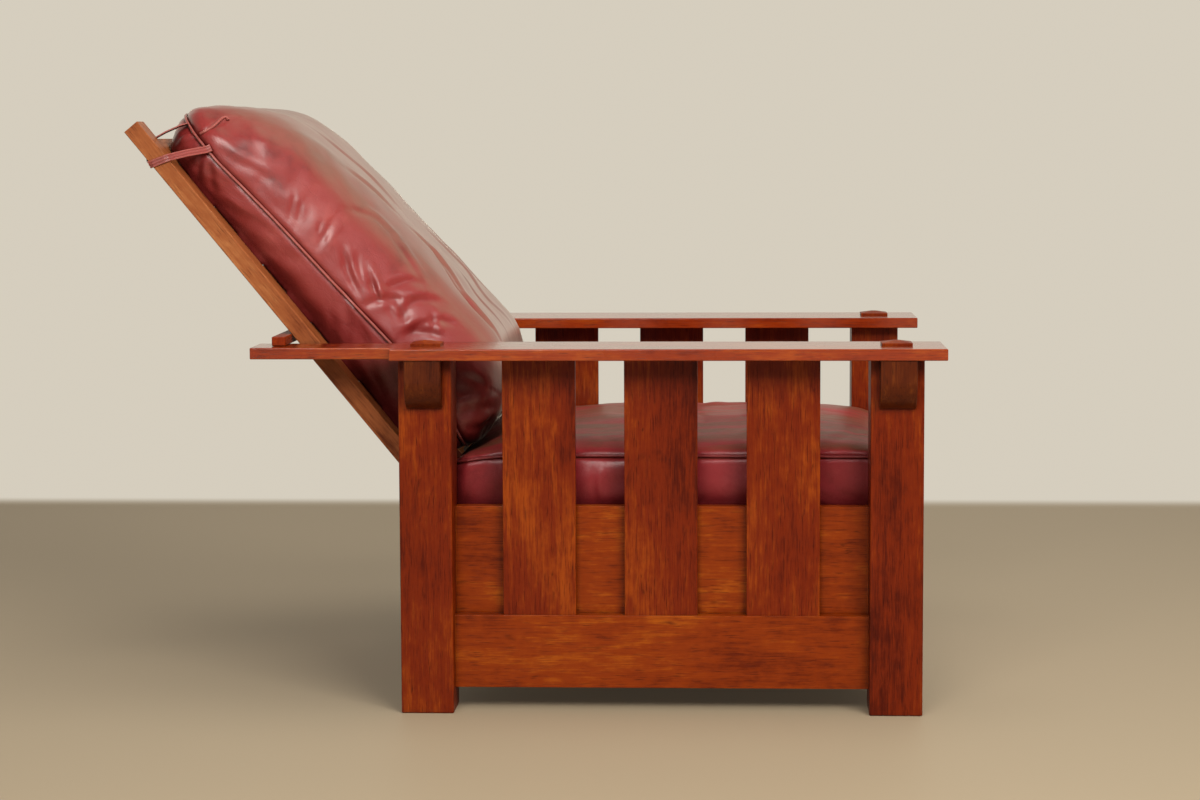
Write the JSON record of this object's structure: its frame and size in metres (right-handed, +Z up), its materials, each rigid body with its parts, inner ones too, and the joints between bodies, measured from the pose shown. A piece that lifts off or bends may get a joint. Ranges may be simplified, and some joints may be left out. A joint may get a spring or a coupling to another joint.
{
  "type": "reclining armchair",
  "caption": "Mission reclining armchair: square posts, flat arms over side slats, a hinged ladder back held by a loose support bar, and leather seat and back cushions.",
  "frame": {"origin": "on the floor, under the middle of the whole chair's box with the back fully reclined", "axes": "+Z up, +Y from the front of the chair to its back, +X to the sitter's left"},
  "size_m": [0.845, 1.25, 0.9246],
  "materials": {
    "frame_wood": "satin red-brown lacquer",
    "rail_wood": "satin red-brown lacquer",
    "back_wood": "satin, lighter brown",
    "deck_wood": "bare",
    "leather": "glossy burgundy",
    "strap_leather": "satin burgundy",
    "pin_steel": "plain",
    "washer_brass": "plain"
  },
  "bodies": {
    "frame": {"front_post_left": "frame_wood", "front_post_right": "frame_wood", "rear_post_left": "frame_wood", "rear_post_right": "frame_wood", "arm_left": "frame_wood", "arm_right": "frame_wood", "front_corbel_left": "frame_wood", "front_corbel_right": "frame_wood", "rear_corbel_left": "frame_wood", "rear_corbel_right": "frame_wood", "side_slat_1_left": "frame_wood", "side_slat_1_right": "frame_wood", "side_slat_2_left": "frame_wood", "side_slat_2_right": "frame_wood", "side_slat_3_left": "frame_wood", "side_slat_3_right": "frame_wood", "lower_side_rail_left": "rail_wood", "lower_side_rail_right": "rail_wood", "seat_side_rail_left": "rail_wood", "seat_side_rail_right": "rail_wood", "seat_front_rail": "rail_wood", "seat_rear_rail": "rail_wood", "seat_front_cleat": "deck_wood", "seat_rear_cleat": "deck_wood", "seat_deck_slat_1": "deck_wood", "seat_deck_slat_2": "deck_wood", "seat_deck_slat_3": "deck_wood", "seat_deck_slat_4": "deck_wood", "seat_deck_slat_5": "deck_wood", "seat_deck_slat_6": "deck_wood", "pivot_pin_left": "pin_steel", "pivot_washer_left": "washer_brass", "pivot_pin_right": "pin_steel", "pivot_washer_right": "washer_brass", "seat_cushion": "leather"},
    "back": {"back_stile_left": "back_wood", "back_stile_right": "back_wood", "back_bottom_slat": "back_wood", "back_slat_1": "back_wood", "back_slat_2": "back_wood", "back_slat_3": "back_wood", "back_slat_4": "back_wood", "back_crest_slat": "back_wood", "back_cushion": "leather", "strap_loop_left": "strap_leather", "strap_loop_right": "strap_leather"},
    "support_bar": {"support_bar": "back_wood", "support_bar_pin_left": "back_wood", "support_bar_pin_right": "back_wood"}
  },
  "joints": [
    {"name": "back_recline", "type": "hinge", "parent": "frame", "child": "back", "pos_m": [0, 0.157, 0.332], "axis": [1, 0, 0], "range_deg": [0, 22]},
    {"name": "support_bar_lift", "type": "slide", "parent": "frame", "child": "support_bar", "axis": [0, 0.6334, 0.7738], "range_m": [0, 0.03]}
  ]
}
